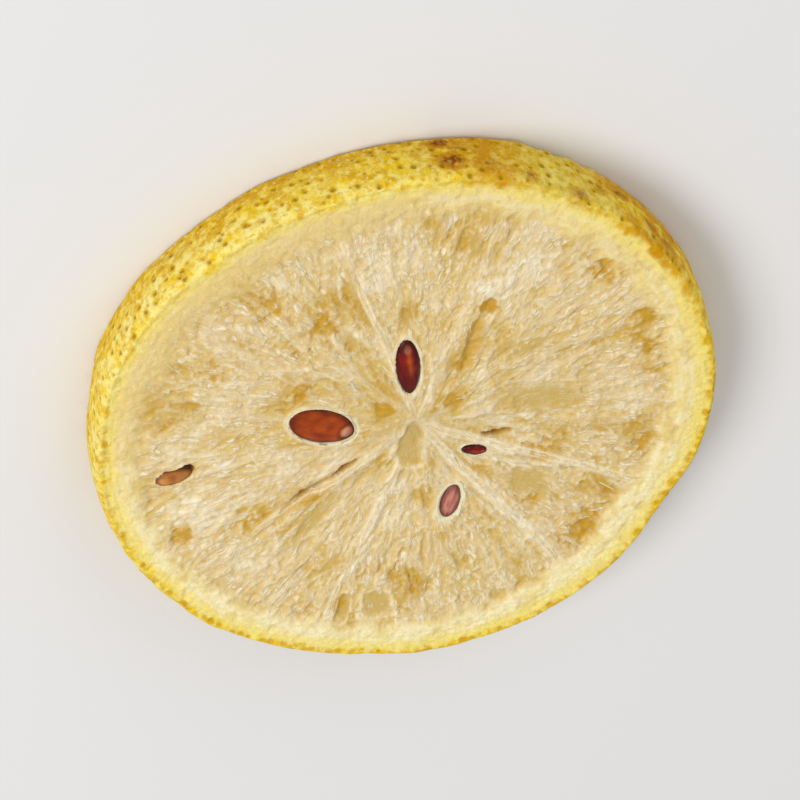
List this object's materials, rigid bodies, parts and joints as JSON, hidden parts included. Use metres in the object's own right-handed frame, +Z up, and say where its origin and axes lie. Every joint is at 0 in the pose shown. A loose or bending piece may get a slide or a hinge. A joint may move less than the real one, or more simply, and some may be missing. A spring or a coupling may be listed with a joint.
{
  "type": "freeze-dried lemon slice",
  "caption": "Round crosswise slice of freeze-dried lemon with yellow rind, pale pith, sunken pulp segments and seed pockets, lying flat.",
  "frame": {"origin": "bottom centre of the slice's box, on the surface it lies on", "axes": "+Z up through the slice, from its lower to its upper cut face; +X and +Y lie in the plane of the slice, with the two largest seeds to the -Y and +X sides of the core"},
  "size_m": [0.0582, 0.0576, 0.0062],
  "materials": {
    "pulp": "dry straw-coloured juice cells with whitish cell walls and golden hollows, matt",
    "membrane": "pale papery membranes and core, matt",
    "pith": "cream spongy pith, matt",
    "rind": "lemon yellow pitted peel with golden patches and olive-brown pores, low sheen",
    "seed": "red-brown to maroon dried seed coat, satin",
    "husk": "ivory outer skin of the seeds, torn open round them, matt"
  },
  "bodies": {
    "root": {"lemon_slice": "pulp"}
  },
  "joints": []
}
